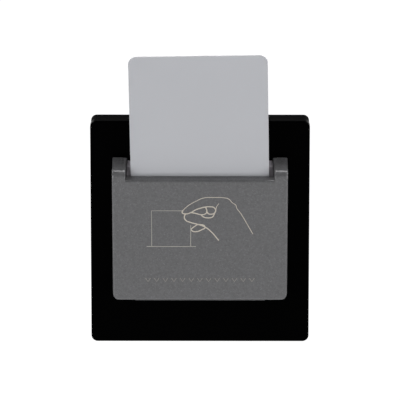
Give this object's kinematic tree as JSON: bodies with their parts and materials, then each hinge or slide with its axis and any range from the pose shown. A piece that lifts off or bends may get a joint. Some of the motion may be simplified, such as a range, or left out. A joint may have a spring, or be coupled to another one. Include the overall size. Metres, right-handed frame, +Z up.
{
  "type": "key card switch",
  "caption": "Wall key card switch: glossy black plate, tilted grey pocket with a lug at each end of its slot, inserted card, sprung slider, snap switch and relay base.",
  "frame": {"origin": "middle of the plate, on the wall, midway between the wall-box screws", "axes": "+X to the right seen from the room, +Y into the wall, +Z up"},
  "size_m": [0.086, 0.0532, 0.1224],
  "materials": {
    "gloss_black": "polished black sheet",
    "tape_grey": "foam bonding tape",
    "frame_black": "fine moulded grain",
    "pocket_grey": "metallic grey paint on a moulding",
    "guide_grey": "fine moulded grain",
    "card_grey": "satin laminated card",
    "zinc_steel": "zinc plated",
    "clear_plastic": "clear moulded",
    "slider_white": "smooth moulded",
    "base_white": "fine moulded grain",
    "board_green": "solder mask",
    "switch_black": "smooth moulded",
    "button_red": "smooth moulded",
    "led_green": "tinted clear",
    "relay_blue": "smooth moulded",
    "film_yellow": "smooth moulded",
    "can_navy": "sleeved can",
    "disc_blue": "dipped coating",
    "fuse_brown": "smooth moulded",
    "chip_black": "moulded epoxy",
    "resistor_tan": "dipped coating",
    "brass": "machined"
  },
  "bodies": {
    "housing": {"front_panel": "gloss_black", "panel_tape": "tape_grey", "fascia_frame": "frame_black", "pocket_cover": "pocket_grey", "card_guide": "guide_grey", "pocket_screws": "zinc_steel", "light_guide": "clear_plastic", "slider_spring": "zinc_steel", "mounting_yoke": "zinc_steel", "wall_screws": "zinc_steel", "base_screws": "zinc_steel", "insulating_cover": "base_white", "base_housing": "base_white", "circuit_board": "board_green", "board_screws": "zinc_steel", "switch_body": "switch_black", "lever_pin": "zinc_steel", "indicator_led": "led_green", "relay": "relay_blue", "film_capacitor": "film_yellow", "electrolytic_capacitor": "can_navy", "varistor": "disc_blue", "fuse": "fuse_brown", "rectifier": "chip_black", "resistors": "resistor_tan", "control_chip": "chip_black", "line_terminal": "brass", "neutral_terminal": "brass", "load_terminal": "brass", "terminal_screws": "zinc_steel"},
    "slider": {"push_slider": "slider_white"},
    "card": {"key_card": "card_grey"},
    "lever": {"switch_lever": "zinc_steel"},
    "button": {"switch_button": "button_red"}
  },
  "joints": [
    {"name": "slider_slide", "type": "slide", "parent": "housing", "child": "slider", "axis": [0, -0.1392, 0.9903], "range_m": [0, 0.004], "deforming": ["slider_spring"]},
    {"name": "card_slide", "type": "slide", "parent": "slider", "child": "card", "axis": [0, -0.1392, 0.9903], "range_m": [0, 0.041]},
    {"name": "lever_turn", "type": "hinge", "parent": "housing", "child": "lever", "pos_m": [-0.0135, -0.0002, -0.01057], "axis": [0, -1, 0], "range_deg": [0, 14]},
    {"name": "button_slide", "type": "slide", "parent": "housing", "child": "button", "axis": [0, 0, 1], "range_m": [0, 0.0009]}
  ],
  "couplings": [
    {"joint": "lever_turn", "follows": "slider_slide", "rad_per_m": 61.087},
    {"joint": "button_slide", "follows": "slider_slide", "ratio": 0.2249}
  ]
}
